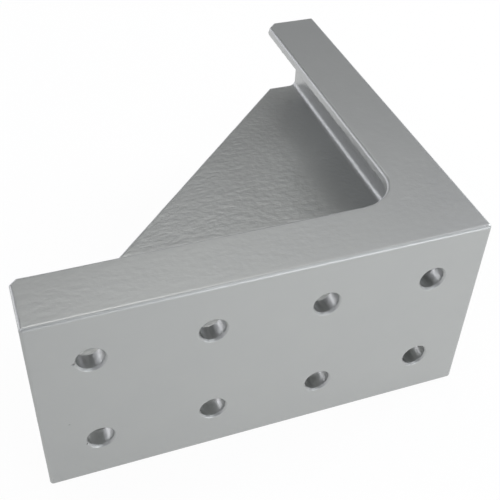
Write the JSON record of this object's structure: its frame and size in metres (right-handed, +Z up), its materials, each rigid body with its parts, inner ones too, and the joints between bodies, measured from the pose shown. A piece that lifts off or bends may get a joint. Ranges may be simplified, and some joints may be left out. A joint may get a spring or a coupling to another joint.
{
  "type": "angle bracket",
  "caption": "Right-angled cast steel bracket: two rimmed bolting legs joined by a central triangular web, for joining slotted framing profiles.",
  "frame": {"origin": "middle of the bounding box's underside, in the plane that the lower rims rest on", "axes": "+Z up across the height of the legs; leg A lies along X and bolts towards -Y; leg B lies along Y and bolts towards +X"},
  "size_m": [0.159, 0.159, 0.079],
  "materials": {
    "silver_coat": "silver-grey powder coat over a fine sand-cast skin, smoother on the bolting faces"
  },
  "bodies": {
    "root": {"angle_bracket": "silver_coat"}
  },
  "joints": []
}
